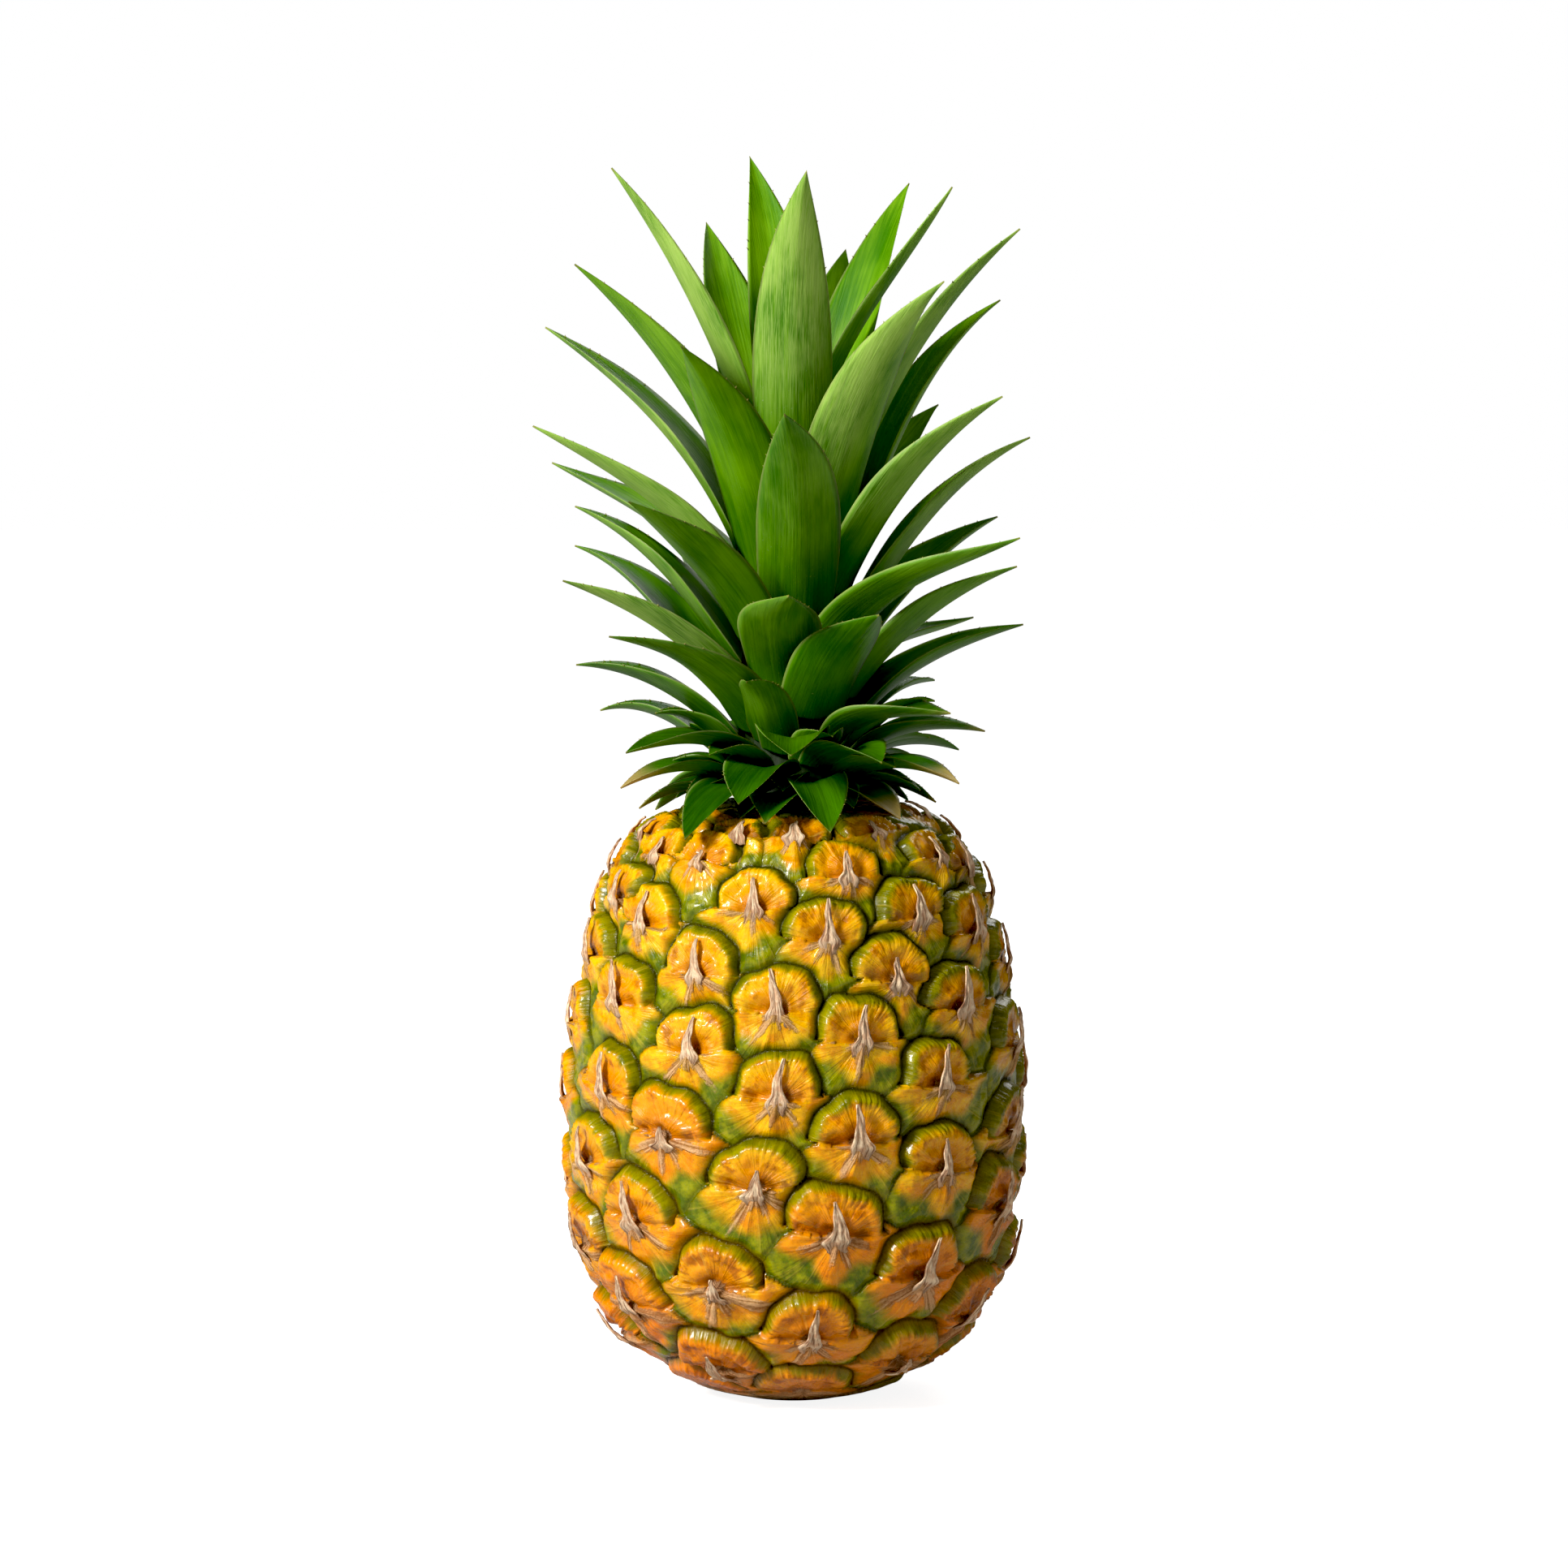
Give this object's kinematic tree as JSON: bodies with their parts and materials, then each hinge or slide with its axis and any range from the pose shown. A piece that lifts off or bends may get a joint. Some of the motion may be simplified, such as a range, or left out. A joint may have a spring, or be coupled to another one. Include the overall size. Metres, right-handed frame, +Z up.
{
  "type": "pineapple",
  "caption": "Whole ripe pineapple with a full leafy crown, standing upright on a small flat spot where it was cut from its stalk.",
  "frame": {"origin": "centre of the flat spot under the fruit, on the fruit's axis", "axes": "+Z up along the fruit's axis towards the crown, -Y towards the front, +X to the right seen from the front"},
  "size_m": [0.1377, 0.1409, 0.346],
  "materials": {
    "fruit_skin": "waxy rind, golden yellow to orange eyes with green rims, dry tan bracts",
    "crown_core": "matt fibrous green core",
    "leaf_lower": "dark green waxy leaf",
    "leaf_middle": "mid green satin leaf",
    "leaf_upper": "light green satin leaf with a pale bloom"
  },
  "bodies": {
    "root": {"fruit_body": "fruit_skin", "crown_stem": "crown_core", "leaf_01": "leaf_lower", "leaf_02": "leaf_lower", "leaf_03": "leaf_lower", "leaf_04": "leaf_lower", "leaf_05": "leaf_lower", "leaf_06": "leaf_lower", "leaf_07": "leaf_lower", "leaf_08": "leaf_lower", "leaf_09": "leaf_lower", "leaf_10": "leaf_lower", "leaf_11": "leaf_lower", "leaf_12": "leaf_lower", "leaf_13": "leaf_lower", "leaf_14": "leaf_lower", "leaf_15": "leaf_lower", "leaf_16": "leaf_lower", "leaf_17": "leaf_lower", "leaf_18": "leaf_lower", "leaf_19": "leaf_middle", "leaf_20": "leaf_middle", "leaf_21": "leaf_middle", "leaf_22": "leaf_middle", "leaf_23": "leaf_middle", "leaf_24": "leaf_middle", "leaf_25": "leaf_middle", "leaf_26": "leaf_middle", "leaf_27": "leaf_middle", "leaf_28": "leaf_middle", "leaf_29": "leaf_middle", "leaf_30": "leaf_middle", "leaf_31": "leaf_middle", "leaf_32": "leaf_middle", "leaf_33": "leaf_middle", "leaf_34": "leaf_middle", "leaf_35": "leaf_middle", "leaf_36": "leaf_middle", "leaf_37": "leaf_middle", "leaf_38": "leaf_middle", "leaf_39": "leaf_middle", "leaf_40": "leaf_middle", "leaf_41": "leaf_upper", "leaf_42": "leaf_upper", "leaf_43": "leaf_upper", "leaf_44": "leaf_upper", "leaf_45": "leaf_upper", "leaf_46": "leaf_upper", "leaf_47": "leaf_upper", "leaf_48": "leaf_upper", "leaf_49": "leaf_upper", "leaf_50": "leaf_upper", "leaf_51": "leaf_upper", "leaf_52": "leaf_upper", "leaf_53": "leaf_upper", "leaf_54": "leaf_upper", "leaf_55": "leaf_upper", "leaf_56": "leaf_upper", "leaf_57": "leaf_upper", "leaf_58": "leaf_upper"}
  },
  "joints": []
}
